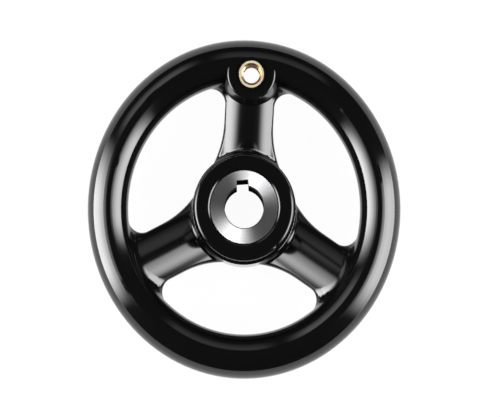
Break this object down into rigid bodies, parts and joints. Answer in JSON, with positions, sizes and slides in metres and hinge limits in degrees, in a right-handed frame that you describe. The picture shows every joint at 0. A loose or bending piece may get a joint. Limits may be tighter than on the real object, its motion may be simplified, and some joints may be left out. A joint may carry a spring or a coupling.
{
  "type": "machine handwheel",
  "caption": "Moulded black machine handwheel with an oval rim, crowned spokes flaring into a raised hub, a keyed steel bush and a threaded brass insert for a crank handle.",
  "frame": {"origin": "centre of the bore at the back face of the hub", "axes": "+Z along the bore from the back of the hub to its front; +Y from the bore to the handle insert; +X completes a right-handed set"},
  "size_m": [0.16, 0.16, 0.038],
  "materials": {
    "phenolic": "polished black moulded phenolic",
    "steel": "lathe-turned steel",
    "brass": "machined brass"
  },
  "bodies": {
    "root": {"wheel_body": "phenolic", "hub_bush": "steel", "handle_insert": "brass"}
  },
  "joints": []
}
